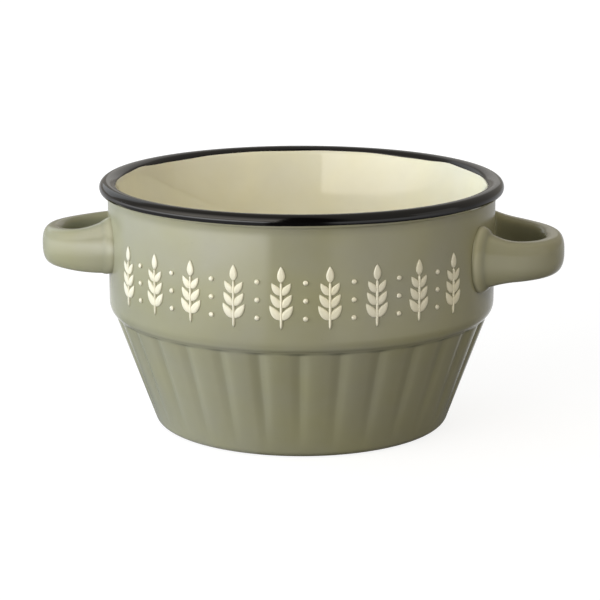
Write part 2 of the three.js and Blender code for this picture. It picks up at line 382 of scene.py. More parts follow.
@dataclass(frozen=True)
class Glaze:
    """A glossy fired glaze.

    Attributes:
        name: the material's name.
        body: its colour at full thickness, as written sRGB.
        thin: its colour where it runs thin over an edge, also the colour of painted highlights.
        pool: its colour where it lies thick in a hollow, also the colour of painted shade.
        gloss: roughness of the surface.
        ripple: how strongly the surface waves.
        specks: share of the fine specks that show.
        wave: height in metres of the ripple at full strength.
        index: its refractive index.
    """

    name: str
    body: str
    thin: str
    pool: str
    gloss: float
    ripple: float
    specks: float
    wave: float = 0.0004
    index: float = 1.52

    def material(self) -> bpy.types.Material:
        """Builds the material: the shared group feeds colour, roughness and relief to a glossy shader.

        Returns:
            The material.
        """
        made, bench = new_material(self.name)
        inputs = {"Body": linear(self.body), "Thin": linear(self.thin), "Pool": linear(self.pool)}
        inputs |= {"Gloss": self.gloss, "Specks": self.specks}
        tone = bench.add("ShaderNodeGroup", inputs, node_tree=GlazeGroup().tree())
        inputs = {"Strength": self.ripple, "Distance": self.wave, "Height": tone.outputs["Height"]}
        normal = bench.add("ShaderNodeBump", inputs).outputs["Normal"]
        inputs = {"Base Color": tone.outputs["Colour"], "Roughness": tone.outputs["Roughness"]}
        shader = bench.add("ShaderNodeBsdfPrincipled", {**inputs, "Normal": normal, "IOR": self.index})
        bench.add("ShaderNodeOutputMaterial", {"Surface": shader.outputs[0]})
        return made


@dataclass(frozen=True)
class BareClay:
    """Unglazed fired stoneware: matt, sandy and speckled.

    Attributes:
        name: the material's name.
        body: the clay's colour, as written sRGB.
        grain: the colour of its sand.
        sand_scale: how fine the sand is, per metre.
        sand_range: values of the noise between which the clay turns to sand.
        relief: strength of the sand's relief.
        depth: height in metres of that relief at full strength.
        roughness: of the surface.
    """

    name: str = "bare_clay"
    body: str = "cbbda3"
    grain: str = "a08c6e"
    sand_scale: float = 800.0
    sand_range: Pair = (0.45, 0.75)
    relief: float = 0.4
    depth: float = 0.0002
    roughness: float = 0.85

    def material(self) -> bpy.types.Material:
        """Builds the material: noise turns the clay to sand and raises it.

        Returns:
            The material.
        """
        made, bench = new_material(self.name)
        sand = bench.noise(self.sand_scale, 4.0, 0.7)
        grains = bench.ramp(sand, *self.sand_range, 0.0, 1.0)
        colour = bench.mix(grains, linear(self.body), linear(self.grain))
        inputs = {"Strength": self.relief, "Distance": self.depth, "Height": sand}
        normal = bench.add("ShaderNodeBump", inputs).outputs["Normal"]
        inputs = {"Base Color": colour, "Roughness": self.roughness, "Normal": normal}
        shader = bench.add("ShaderNodeBsdfPrincipled", inputs)
        bench.add("ShaderNodeOutputMaterial", {"Surface": shader.outputs[0]})
        return made


@dataclass(frozen=True)
class Finishes:
    """The materials of the cup."""

    green: bpy.types.Material
    cream: bpy.types.Material
    black: bpy.types.Material
    relief: bpy.types.Material
    clay: bpy.types.Material

    @classmethod
    def mixed(cls) -> "Finishes":
        """Mixes and builds them all.

        Returns:
            The finishes.
        """
        return cls(
            # The green's thin and pool colours also serve as painted highlight and painted shade on the cup
            # and handles.
            green=Glaze("green_glaze", "99977c", "bab79c", "6b6c5b", 0.16, 0.2, 0.5).material(),
            cream=Glaze("cream_glaze", "e6e2ca", "f0ecda", "ddd6b4", 0.015, 0.03, 0.3).material(),
            black=Glaze("black_glaze", "070606", "161412", "050505", 0.12, 0.05, 0.0).material(),
            relief=Glaze("relief_glaze", "99977c", "e9e4cd", "6c6b57", 0.3, 0.2, 0.2).material(),
            clay=BareClay().material(),
        )


@dataclass(frozen=True)
class Cup:
    """The turned and ribbed cup.

    Sizes are in millimetres. They follow the CAD, but the creases are a little deeper and not the same on
    both sides, the lip sags at the front and the edges of the coats are brushed.

    Attributes:
        height: from the table to the top of the lip.
        band_radius: of the upright band that carries the handles.
        band_bottom: height at which the band starts to round under.
        shoulder_drop: from there down to the tops of the ribs.
        shoulder_bend: how high in that drop the corner of the bend is, as a share.
        shoulder_inset: from the band in to the tops of the ribs.
        base_radius: of the ribbed wall, if it ran straight on down to the table.
        base_corner: radius between that wall and the foot.
        wall_rows: heights between which the ribbed wall needs fewer rows of points.
        ribs: how many there are.
        crease_depth: of the crease between two ribs.
        crease_rise: from the base corner up to where the creases start.
        crease_runout: height over which they deepen.
        crease_power: how flat a rib is after a crease.
        crease_lead: how flat it is before the next one.
        crease_round: how rounded the bottom of a crease is, as a share of half a rib.
        crease_turn: how far all the ribs are turned, in radians.
        crease_fade: how far below the tops of the ribs the creases start to fade, and over what height.
        crease_crowd: how much closer together the columns of points are beside a crease.
        groove_depth: of the line between the ribs and the shoulder.
        groove_half: half the height of that line.
        lip_roll: radius of the rolled outer edge.
        under_lip: how far the roll's underside stands out from the band.
        under_fall: height of the hollow between the band and the roll.
        lip_fall: height of the rounding on the inner side.
        lip_seam: where the black coat ends inside, as an angle over the lip.
        rim_seam: where it ends outside.
        band_wall: thickness of the wall below the lip.
        rib_wall: thickness of the wall at the floor.
        floor_top: height of the floor inside.
        floor_corner: radius between the floor and the wall.
        foot_width: of the bare ring that the cup stands on.
        foot_slope: how far that ring's inner side leans in.
        foot_edge: size of the soft edges there and of the underside's coat.
        recess: height of the glazed underside above the table.
        recess_margin: from the ring to the glaze of the underside.
        glaze: thickness of a coat.
        clay_gaps: from the backs of the outer and the inner coat to the clay.
        lip_clay: from the face of the lip down to the clay.
        cap_radius: radius at which a floor's rings end and a cap closes them.
        bare_foot: height at which the outer coat stops.
        lip_sag: how far the lip sags at the front.
        sag_start: height from which it does.
        green_tuck: how far the green coat dips under the black one.
        cream_tuck: how far the cream coat dips under it.
        green_under: angle over the lip by which the green coat runs on under the black one.
        cream_under: angle by which the cream coat does.
        tuck_run: angle over which they dip.
        brush_waves: size, number round the cup and start of each wave in the black coat's edges.
        outer_wave: share of these waves at the outer edge.
        back_stay: how much less far down the brush went on the inner side at the back.
        back_range: angles from the back between which that ends.
        brush_step: how far the black coat's edge stands up.
        brush_seat: how far that edge starts below the lip's face.
        brush_run: angle over the lip in which the edge rises.
        brush_thin: how thin the black is right at its edge.
        brush_fade: angle over the lip in which it gets thicker.
        outer_dips: where the brush went lower outside, or higher if below 0, by the angle from the back.
        inner_dips: the same on the inner side.
        shoulder_painted_light_and_shade: a painted highlight with thin glaze on the shoulder's edge and
            painted
        shade in the groove, by the height over the tops of the ribs.
        lip_painted_light_and_shade: a painted highlight with thin glaze just under the roll and painted
            shade in the
        hollow below it, by the height over the roll's underside.
        crest_thin_and_highlight: lighter glaze beside a crease, thin glaze and a painted highlight on the
            rib's
        flank, by how deep in the crease a place is.
        crease_pool: how much darker the glaze is in the bottom of a crease.
        floor_pool: darker glaze on the floor inside, by the height over it.
        recess_line: lighter glaze at the edge of the underside's coat.
    """

    height: float = 80.0
    band_radius: float = 62.5
    band_bottom: float = 41.0
    shoulder_drop: float = 4.7
    shoulder_bend: float = 0.3
    shoulder_inset: float = 1.9
    base_radius: float = 47.3
    base_corner: float = 3.1
    wall_rows: Pair = (11.0, 34.0)
    ribs: int = 30
    crease_depth: float = 0.95
    crease_rise: float = 0.5
    crease_runout: float = 30.0
    crease_power: float = 4.5
    crease_lead: float = 2.4
    crease_round: float = 0.18
    crease_turn: float = -0.02
    crease_fade: Pair = (0.6, 1.2)
    crease_crowd: float = 0.72
    groove_depth: float = 0.12
    groove_half: float = 0.8
    lip_roll: float = 2.2
    under_lip: float = 0.35
    under_fall: float = 3.2
    lip_fall: float = 3.5
    lip_seam: float = 2.62
    rim_seam: float = -0.65
    band_wall: float = 3.4
    rib_wall: float = 4.6
    floor_top: float = 6.6
    floor_corner: float = 9.0
    foot_width: float = 5.4
    foot_slope: float = 1.2
    foot_edge: float = 0.5
    recess: float = 1.8
    recess_margin: float = 0.4
    glaze: float = 0.5
    clay_gaps: Pair = (0.2, 0.25)
    lip_clay: float = 0.8
    cap_radius: float = 0.5
    bare_foot: float = 0.3
    lip_sag: float = 0.3
    sag_start: float = 76.0
    green_tuck: float = 0.12
    cream_tuck: float = 0.15
    green_under: float = 0.4
    cream_under: float = 0.5
    tuck_run: float = 0.2
    brush_waves: tuple[Triple, ...] = ((0.025, 3, 0.6), (0.02, 7, 2.0), (0.014, 19, 0.0))
    outer_wave: float = 0.8
    back_stay: float = 0.15
    back_range: Pair = (0.4, 0.9)
    brush_step: float = 0.13
    brush_seat: float = 0.03
    brush_run: float = 0.14
    brush_thin: float = 0.8
    brush_fade: float = 0.12
    outer_dips: tuple[Bell, ...] = (Bell(0.16, 2.1, 0.6), Bell(-0.12, -2.8, 0.3))
    inner_dips: tuple[Bell, ...] = (Bell(-0.18, 1.2, 0.1), Bell(-0.2, -0.86, 0.1), Bell(0.12, -0.5, 0.2))
    shoulder_painted_light_and_shade: tuple[Bell, ...] = (Bell(0.25, 1.8, 0.7), Bell(-0.3, 0.0, 0.6))
    lip_painted_light_and_shade: tuple[Bell, ...] = (Bell(1.0, 0.4, 0.7), Bell(-0.1, -1.6, 0.8))
    crest_thin_and_highlight: Bell = Bell(0.1, 0.3, 0.2)
    crease_pool: float = 0.15
    floor_pool: Bell = Bell(-0.5, 0.0, 6.0)
    recess_line: Bell = Bell(0.3, 0.0, 1.0)

    @property
    def rib_top(self) -> float:
        """Height of the tops of the ribs."""
        return self.band_bottom - self.shoulder_drop

    @property
    def lip_bottom(self) -> float:
        """Height of the underside of the lip's roll."""
        return self.height - 2 * self.lip_roll

    @property
    def taper(self) -> float:
        """Lean of the ribbed wall from upright, in radians."""
        return math.atan2(self.band_radius - self.shoulder_inset - self.base_radius, self.rib_top)

    @property
    def inner_taper(self) -> float:
        """Lean of the inner wall from upright, in radians.

        The wall is straight from its thickness at the floor to its thickness below the lip.

        Returns:
            The angle whose tangent is the gain in radius over the height between the two.
        """
        lean = self.taper
        floor = self.base_radius + self.floor_top * math.tan(lean) - self.rib_wall / math.cos(lean)
        deep = self.height - self.lip_fall - self.floor_top
        return math.atan2(self.band_radius - self.band_wall - floor, deep)

    @property
    def foot_centre(self) -> float:
        """Radius at which the corner between the ribbed wall and the foot has its centre."""
        return self.corner_centre(self.base_radius, self.base_corner, self.taper)

    @property
    def foot_turn(self) -> float:
        """Angle round that corner at which the outer coat stops."""
        return math.asin(self.bare_foot / self.base_corner - 1)

    @staticmethod
    def corner_centre(wall_radius: float, corner: float, lean: float) -> float:
        """Radius at which a corner between a level floor and a leaning wall has its centre."""
        return wall_radius + corner * (math.sin(lean) - 1.0) / math.cos(lean)

    @staticmethod
    def arc(centre: Pair, sizes: Pair, start: float, end: float, count: int) -> np.ndarray:
        """Points round an ellipse: its centre plus its sizes times the cosine and sine of an angle.

        Args:
            centre: radius and height of the centre.
            sizes: half its width and half its height.
            start: the first angle, in radians.
            end: the last angle.
            count: how many points.

        Returns:
            Rows of radius and height.
        """
        angle = np.linspace(start, end, count)
        radius = centre[0] + sizes[0] * np.cos(angle)
        return np.stack([radius, centre[1] + sizes[1] * np.sin(angle)], axis=-1)

    @staticmethod
    def bend(start: Pair, corner: Pair, end: Pair, count: int) -> np.ndarray:
        """Points along a bend that is tangent to its two legs: a piece of a parabola.

        Args:
            start: radius and height at which it starts.
            corner: where its legs meet.
            end: where it ends.
            count: how many points.

        Returns:
            Rows of radius and height.
        """
        share = np.linspace(0.0, 1.0, count)[:, None]
        legs = [np.array(place) for place in (start, corner, end)]
        return (1 - share) ** 2 * legs[0] + 2 * share * (1 - share) * legs[1] + share**2 * legs[2]

    @staticmethod
    def line(start: Pair, end: Pair, count: int) -> np.ndarray:
        """Points (radius, height) along a straight stretch, without its last point."""
        return np.linspace(start, end, count + 1)[:-1]

    def outer_profile(self) -> np.ndarray:
        """The green surface from its lower edge up to the lip, at the tops of the ribs.

        It is an arc round the foot, a straight leaning wall with a cosine groove near its top, a bend to the
        upright band, a quarter of an ellipse under the lip and the lip's own circle.

        Returns:
            Rows of radius and height.
        """
        corner = self.base_corner
        foot = self.arc((self.foot_centre, corner), (corner, corner), self.foot_turn, -self.taper, 10)
        stops = (foot[-1, 1], *self.wall_rows, self.rib_top + self.groove_half)
        rows = [np.linspace(*ends, count)[1:] for *ends, count in zip(stops, stops[1:], (24, 16, 20))]
        height = np.concatenate(rows)
        radius = self.base_radius + height * math.tan(self.taper)
        dip = np.clip(np.abs(height - self.rib_top) / self.groove_half, 0.0, 1.0)
        wall = np.stack([radius - self.groove_depth * (1 + np.cos(np.pi * dip)) / 2, height], axis=-1)
        low = tuple(wall[-1])
        mid = (self.band_radius, low[1] + self.shoulder_bend * (self.band_bottom - low[1]))
        shoulder = self.bend(low, mid, (self.band_radius, self.band_bottom), 18)[1:]
        neck = self.lip_bottom - self.under_fall
        band = self.line((self.band_radius, self.band_bottom), (self.band_radius, neck), 14)[1:]
        hollow = (self.under_lip, self.under_fall)
        fillet = self.arc((self.band_radius + self.under_lip, neck), hollow, np.pi, np.pi / 2, 14)
        turn = np.linspace(-np.pi / 2, self.rim_seam + self.green_under, 14)[1:]
        past = turn - self.rim_seam - self.tuck_run / 2
        roll = self.lip_point(turn, -self.green_tuck * smooth(past / self.tuck_run))
        return np.concatenate([foot, wall, shoulder, band, fillet, np.stack(roll, axis=-1)])

    def lip_point(self, turn: np.ndarray, lift: np.ndarray | float = 0.0) -> tuple[np.ndarray, np.ndarray]:
        """A place on the lip, which is a circle outside and on top and an ellipse on its inner side.

        Args:
            turn: angle over the lip, from 0 at its outermost line over 90 degrees on top to 180 inside.
            lift: how far the place is moved out, square to that surface.

        Returns:
            Its radius and its height.
        """
        outside = turn <= np.pi / 2
        wide = np.where(outside, self.lip_roll, self.under_lip + self.band_wall)
        tall = np.where(outside, self.lip_roll, self.lip_fall)
        square = np.stack([tall * np.cos(turn), wide * np.sin(turn)])
        square = square / np.linalg.norm(square, axis=0)
        radius = self.band_radius + self.under_lip + wide * np.cos(turn) + lift * square[0]
        return radius, self.height - tall + tall * np.sin(turn) + lift * square[1]

    def inner_profile(self) -> np.ndarray:
        """The cream surface from under the black edge down the conical wall to the middle of the floor.

        It is the lip's ellipse, a straight leaning wall that is tangent to it, an arc and the level floor.

        Returns:
            Rows of radius and height.
        """
        lean, corner = self.inner_taper, self.floor_corner
        end = np.pi - math.atan(math.tan(lean) * self.lip_fall / (self.under_lip + self.band_wall))
        turn = np.linspace(self.lip_seam - self.cream_under, end, 16)
        tuck = self.cream_tuck * (1 - smooth((turn - turn[0]) / self.tuck_run))
        lip = np.stack(self.lip_point(turn, -tuck), axis=-1)
        foot = lip[-1, 0] - (lip[-1, 1] - self.floor_top) * math.tan(lean)
        centre = self.corner_centre(foot, corner, lean)
        floor = self.arc((centre, self.floor_top + corner), (corner, corner), -lean, -np.pi / 2, 18)
        cone = self.line(tuple(lip[-1]), tuple(floor[0]), 28)[1:]
        middle = (self.cap_radius, self.floor_top)
        flat = self.line((centre, self.floor_top), middle, 12)[1:]
        return np.concatenate([lip, cone, floor, flat, [middle]])

    @staticmethod
    def sunk(profile: np.ndarray, depth: float) -> np.ndarray:
        """The profile moved into the clay, square to its own direction at each point.

        Args:
            profile: rows of radius and height.
            depth: how far it is moved.

        Returns:
            Rows of radius and height.
        """
        along = np.gradient(profile, axis=0)
        along /= np.linalg.norm(along, axis=1, keepdims=True)
        return np.stack([profile[:, 0] - depth * along[:, 1], profile[:, 1] + depth * along[:, 0]], axis=-1)

    def rib_angles(self, steps: int) -> np.ndarray:
        """Angles round the axis, closer together beside the creases: even steps less a sine of them.

        Args:
            steps: how many columns a rib has.

        Returns:
            The angles, in radians.
        """
        share = np.arange(self.ribs * steps) / steps
        crowded = share - self.crease_crowd / (2 * np.pi) * np.sin(2 * np.pi * share)
        return crowded * 2 * np.pi / self.ribs

    def crease_share(self, angle: np.ndarray) -> np.ndarray:
        """How deep in a crease an angle is.

        The distance from the nearest crease, rounded there as a hyperbola is, is taken from 1 and raised to
        a power. The power is higher after a crease, so a rib rises more steeply than it falls.

        Args:
            angle: angles round the axis, in radians.

        Returns:
            1 at the bottom of a crease, and almost 0 on the top of a rib.
        """
        turn = np.mod(angle * self.ribs / (2 * np.pi), 1.0)
        near = np.hypot(1 - np.abs(2 * turn - 1), self.crease_round) - self.crease_round
        return np.clip(1 - near, 0.0, 1.0) ** np.where(turn < 0.5, self.crease_power, self.crease_lead)

    def spun(self, radius: np.ndarray, height: np.ndarray, angle: np.ndarray) -> np.ndarray:
        """Turns a profile about the axis: radius times (cos, sin) of the angle, and the height.

        The lip sags a little at the front, which goes as the square of (1 - sin) of the angle.

        Args:
            radius: radii that go with the heights.
            height: heights, with a column each or one for all.
            angle: angles round the axis, one a column.

        Returns:
            Points, rows x columns x 3.
        """
        sag = self.lip_sag * ((1 - np.sin(angle)) / 2) ** 2
        height = height - sag * smooth((height - self.sag_start) / (self.height - self.sag_start))
        radius = np.broadcast_to(radius, height.shape)
        return np.stack([radius * np.cos(angle), radius * np.sin(angle), height], axis=-1)

    def turned(self, profile: np.ndarray, angle: np.ndarray) -> np.ndarray:
        """Turns a list of (radius, height) about the axis."""
        return self.spun(profile[:, 0, None], profile[:, 1, None], angle)

    def outer_skin(self) -> Skin:
        """The green coat: its ribbed face, and its back under that.

        The creases take their depth off the radius. They deepen upwards as a sine and fade out at the tops
        of the ribs.

        Returns:
            A skin that closes as a ring, with how thin the glaze is as its tone.
        """
        angle = self.rib_angles(20)
        face = self.outer_profile()
        back = self.sunk(face, self.glaze)[::-5]
        profile = np.concatenate([face, back])
        height = profile[:, 1, None]
        foot = self.base_corner * (1 - math.sin(self.taper)) + self.crease_rise
        run = np.sin(np.pi / 2 * np.clip((height - foot) / self.crease_runout, 0.0, 1.0))
        below, over = self.crease_fade
        run = run * (1 - smooth((height - self.rib_top + below) / over))
        share = self.crease_share(angle)[None, :]
        # Painted highlight, with thin glaze, on the shoulder's edge, and painted shade in the groove under
        # it.
        thin = sum(line.at(height - self.rib_top) for line in self.shoulder_painted_light_and_shade)
        # Painted highlight, with thin glaze, just under the roll, and painted shade in the hollow below it.
        thin = thin + sum(line.at(height - self.lip_bottom) for line in self.lip_painted_light_and_shade)
        # Thin glaze and a painted highlight on the rib flanks beside each crease; the glaze pools darker in
        # the crease.
        thin = thin + run * (self.crest_thin_and_highlight.at(share) - self.crease_pool * share**4)
        tone = np.broadcast_to(thin, (len(profile), len(angle)))
        press = self.crease_depth * run * share
        points = self.spun(profile[:, 0, None] - press, height, angle + self.crease_turn)
        return Skin(points, True, {"thin": tone})

    def lip_skin(self) -> Skin:
        """The black coat, brushed on over the lip, so that it stands proud and its edges wander.

        Each edge is a sum of sine waves round the cup, moved by bell curves where the brush went lower or
        higher. The outer edge has smaller waves that are turned round the cup, and the inner edge stays a
        little higher at the back.

        Returns:
            A skin that closes as a ring, with how thin the black is as its tone.
        """
        angle = np.linspace(0.0, 2 * np.pi, 480, endpoint=False)
        wave = sum(size * np.sin(count * angle + start) for size, count, start in self.brush_waves)
        back = np.arctan2(-np.cos(angle), np.sin(angle))
        start = self.rim_seam + self.outer_wave * np.roll(wave, 100)
        start = start - sum(dip.at(back) for dip in self.outer_dips)
        near, far = self.back_range
        stay = self.back_stay * (1 - smooth((np.abs(back) - near) / (far - near)))
        end = self.lip_seam + wave - stay + sum(dip.at(back) for dip in self.inner_dips)
        face, under = 48, 14
        share = np.concatenate([np.linspace(0.0, 1.0, face), np.linspace(1.0, 0.0, under)])[:, None]
        turn = start + (end - start) * share
        edge = np.minimum(turn - start, end - turn)
        lift = self.brush_step * smooth(edge / self.brush_run) - self.brush_seat
        lift[face:] = self.brush_step - self.brush_seat - self.glaze
        radius, height = self.lip_point(turn, lift)
        points = self.spun(radius, height, angle)
        return Skin(points, True, {"thin": self.brush_thin * (1 - smooth(edge / self.brush_fade))})

    def inner_skin(self) -> Skin:
        """The cream coat, from the middle of its floor up to the lip, and its back under that.

        Returns:
            A skin with a cap at both ends, with how thin the glaze is as its tone.
        """
        angle = np.linspace(0.0, 2 * np.pi, 256, endpoint=False)
        face = self.inner_profile()
        back = self.sunk(face, self.glaze)[:-1:3]
        under = [[self.cap_radius, self.floor_top - self.glaze]]
        points = self.turned(np.concatenate([face[::-1], back, under]), angle)
        return Skin(points, False, {"thin": self.floor_pool.at(points[..., 2] - self.floor_top)})

    def clay_skin(self) -> Skin:
        """The clay: a foot ring with soft edges round a shallow recess, and the wall under the coats.

        The foot's corner runs on a little way under the outer coat.

        Returns:
            A skin with a cap at both ends.
        """
        angle = np.linspace(0.0, 2 * np.pi, 240, endpoint=False)
        corner, soft = self.base_corner, self.foot_edge
        outer = self.foot_centre
        inner = outer - self.foot_width
        top = self.recess + self.glaze
        under = [
            self.line((self.cap_radius, top), (inner - self.foot_slope, top), 6),
            self.line((inner - self.foot_slope, top), (inner - soft / 2, soft), 4),
            self.bend((inner - soft / 2, soft), (inner, 0.0), (inner + soft, 0.0), 6),
            self.line((inner + soft, 0.0), (outer, 0.0), 3)[1:],
            self.arc((outer, corner), (corner - 0.03, corner), -np.pi / 2, self.foot_turn + 0.12, 8),
        ]
        outer_gap, inner_gap = self.clay_gaps
        depth = self.crease_depth + self.glaze + outer_gap
        outside = self.outer_profile()
        wall = self.sunk(outside, depth)[6:][outside[6:, 1] < self.band_bottom + 1][::3]
        neck = [[self.band_radius - depth, self.lip_bottom - 1.0]]
        lip = np.stack(self.lip_point(np.linspace(-0.4, self.lip_seam, 16), -self.lip_clay), axis=-1)
        inside = self.sunk(self.inner_profile(), self.glaze + inner_gap)[10::3]
        return Skin(self.turned(np.concatenate([*under, wall, neck, lip, inside]), angle))

    def base_skin(self) -> Skin:
        """The green coat in the recess under the foot, with a soft edge.

        Returns:
            A skin with a cap at both ends, with how thin the glaze is as its tone.
        """
        angle = np.linspace(0.0, 2 * np.pi, 192, endpoint=False)
        outer = self.foot_centre - self.foot_width - self.foot_slope - self.recess_margin
        high, low = self.recess + self.glaze - 0.05, self.recess
        middle = self.cap_radius
        profile = np.concatenate([
            self.line((middle, low), (outer - self.foot_edge, low), 10),
            self.bend((outer - self.foot_edge, low), (outer, low), (outer, high), 6),
            self.line((outer, high), (middle, high), 4)[1:],
            [[middle, high]],
        ])
        points = self.turned(profile, angle)
        away = np.hypot(points[..., 0], points[..., 1])
        return Skin(points, False, {"thin": self.recess_line.at(away - outer)})

    def dress(self, finish: Finishes) -> None:
        """Puts the cup's pieces into the scene.

        Args:
            finish: the cup's materials.
        """
        make_piece("cup_outer_glaze", [self.outer_skin()], finish.green, ["outer_glaze"])
        make_piece("cup_rim_glaze", [self.lip_skin()], finish.black, ["rim_glaze"])
        make_piece("cup_inner_glaze", [self.inner_skin()], finish.cream, ["inner_glaze"])
        make_piece("cup_clay", [self.clay_skin()], finish.clay, ["stoneware_body"])
        make_piece("cup_base_glaze", [self.base_skin()], finish.green, ["base_glaze"])


class Side(Enum):
    """Which side of the cup a handle is on: the sign of its X."""

    RIGHT = 1
    LEFT = -1


@dataclass(frozen=True)
class Handle:
    """A strap handle: a rounded strap round a superellipse, with a bead where its limbs meet the band.

    Attributes:
        side: which handle it is.
        cup: the cup that it sits on.
        reach: from the band to its outermost face, in millimetres like all its sizes.
        span: between the centre lines of its two limbs.
        power: squareness of the loop seen from above.
        drop: from the top of the lip down to its centre line, at the outer end.
        rise: how much higher that line is at the roots.
        thickness: of the strap.
        strap: its height at the outer end.
        gain: its extra height at the roots.
        tilt: how far the front limb is lifted and the back one lowered.
        strap_power: squareness of the strap's section.
        flare: how much wider than the strap a limb is taken to be, to work out where it ends.
        root_depth: how far the limbs run on below the band.
        root_wide: how much a root widens sideways.
        root_top: how much it widens upwards.
        root_low: how much it widens downwards, or narrows there if below 0.
        root_length: distance from the band over which it widens.
        root_power: how late the strap grows on its way in to the roots.
        back_flare: share of the widening at the back root, or below 0 if it narrows.
        bead: how far the bead of slip at a root stands out.
        bead_width: distance from the band at which the bead ends.
        bead_light_and_shade_strength: how strongly the painted light and shade on the bead show.
        bead_painted_light_and_shade: a painted highlight along the bead and painted shade where it meets the
            band and the strap, by the distance from the band.
        edge_line: lighter glaze along the strap's edges, by the sine of the angle round it.
        inside_painted_shade: how much darker the painted shade makes the face towards the cup.
    """

    side: Side
    cup: Cup
    reach: float = 22.4
    span: float = 45.6
    power: float = 2.28
    drop: float = 22.6
    rise: float = 1.6
    thickness: float = 7.0
    strap: float = 12.1
    gain: float = 3.8
    tilt: float = 0.0
    strap_power: float = 2.6
    flare: float = 2.5
    root_depth: float = 1.5
    root_wide: float = 1.9
    root_top: float = 3.0
    root_low: float = 2.4
    root_length: float = 10.0
    root_power: float = 2.0
    back_flare: float = 0.5
    bead: float = 0.9
    bead_width: float = 2.8
    bead_light_and_shade_strength: float = 1.0
    bead_painted_light_and_shade: tuple[Bell, ...] = (Bell(0.8, 1.12, 0.7), Bell(-0.35, 2.8, 0.6), Bell(-0.4, 0.0, 0.35))
    edge_line: Bell = Bell(0.2, 0.86, 0.12)
    inside_painted_shade: float = 0.5

    @property
    def apex_x(self) -> float:
        """Where the centre line is farthest out."""
        return self.cup.band_radius + self.reach - self.thickness / 2

    @property
    def root_x(self) -> float:
        """Where the limbs end, below the band."""
        outer = self.span / 2 + self.thickness / 2 + self.flare
        return math.sqrt(self.cup.band_radius**2 - outer**2) - self.root_depth

    def centre(self, place: np.ndarray) -> np.ndarray:
        """The centre line seen from above: half a superellipse.

        Args:
            place: places along it, from -1 at one root to 1 at the other.

        Returns:
            Points of the same shape as place, with x and y last.
        """
        turn = place * np.pi / 2
        out = super_power(np.maximum(np.cos(turn), 0.0), self.power)
        x = self.root_x + (self.apex_x - self.root_x) * out
        return np.stack([x, self.span / 2 * super_power(np.sin(turn), self.power)], axis=-1)

    def section(
        self,
        place: np.ndarray,
        angle: np.ndarray,
        near: np.ndarray | float = 0.0,
        bead: np.ndarray | float = 0.0,
    ) -> np.ndarray:
        """Points on the strap.

        The strap's section is a superellipse square to the centre line. Its height grows, and its middle
        rises, with a power of the way in from the outer end to the roots. Near a root it also widens,
        upwards and downwards by amounts of their own, and becomes more of a plain ellipse.

        Args:
            place: places along the centre line, -1 to 1.
            angle: angles round the section.
            near: share of the widening at the root.
            bead: how far the bead of slip stands out there.

        Returns:
            Points of the same shape as place, with x, y and z last.
        """
        middle = self.centre(place)
        step = 1e-3
        along = self.centre(np.minimum(place + step, 1.0)) - self.centre(np.maximum(place - step, -1.0))
        along /= np.linalg.norm(along, axis=-1, keepdims=True)
        root = ((self.apex_x - middle[..., 0]) / (self.apex_x - self.root_x)) ** self.root_power
        power = self.strap_power + (2.0 - self.strap_power) * near
        across = (self.thickness / 2 + self.root_wide * near + bead) * super_power(np.cos(angle), power)
        tall = np.where(np.sin(angle) > 0, self.root_top, self.root_low) * near
        up = ((self.strap + self.gain * root) / 2 + tall + bead) * super_power(np.sin(angle), power)
        x = middle[..., 0] + along[..., 1] * across
        y = middle[..., 1] - along[..., 0] * across
        return np.stack([x, y, self.cup.height - self.drop + self.rise * root + up], axis=-1)

    def place_at(self, distance: np.ndarray, angle: np.ndarray) -> np.ndarray:
        """Where along one limb the strap's face is a given distance from the band, found by halving.

        Args:
            distance: distances from the band.
            angle: angles round the section.

        Returns:
            Places along the centre line.
        """
        near, far = np.full(angle.shape, 0.3), np.ones(angle.shape)
        for _ in range(40):
            half = (near + far) / 2
            point = self.section(half, angle)
            inside = np.hypot(point[..., 0], point[..., 1]) - self.cup.band_radius < distance
            far, near = np.where(inside, half, far), np.where(inside, near, half)
        return (near + far) / 2

    def bead_at(self, distance: np.ndarray) -> np.ndarray:
        """How far the bead of slip stands out at a distance from the band.

        It rises from the band as a quarter round and falls to the strap as a parabola.

        Args:
            distance: distances from the band.

        Returns:
            Millimetres that go onto the strap's section all round.
        """
        place = np.clip(2 * distance / self.bead_width, 0.0, 2.0) - 1
        rise = np.sqrt(np.clip(1 - 0.85 * place**2, 0.0, 1.0))
        return self.bead * np.where(place < 0, rise, 1 - place**2)

    def root(
        self, place: np.ndarray, angle: np.ndarray, gap: np.ndarray, near: np.ndarray, bead: np.ndarray
    ) -> np.ndarray:
        """Points of a limb beside the band, widened into a flare and a bead.

        Each point keeps its distance from the band, so that the limb ends on the band's own curve.

        Args:
            place: places along the centre line, -1 to 1.
            angle: angles round the section.
            gap: distances from the band.
            near: share of the widening at the root.
            bead: how far the bead of slip stands out.

        Returns:
            Points of the same shape as place, with x, y and z last.
        """
        points = self.section(place, angle, near, bead)
        points[..., 0] = np.sqrt((self.cup.band_radius + gap) ** 2 - points[..., 1] ** 2)
        return points

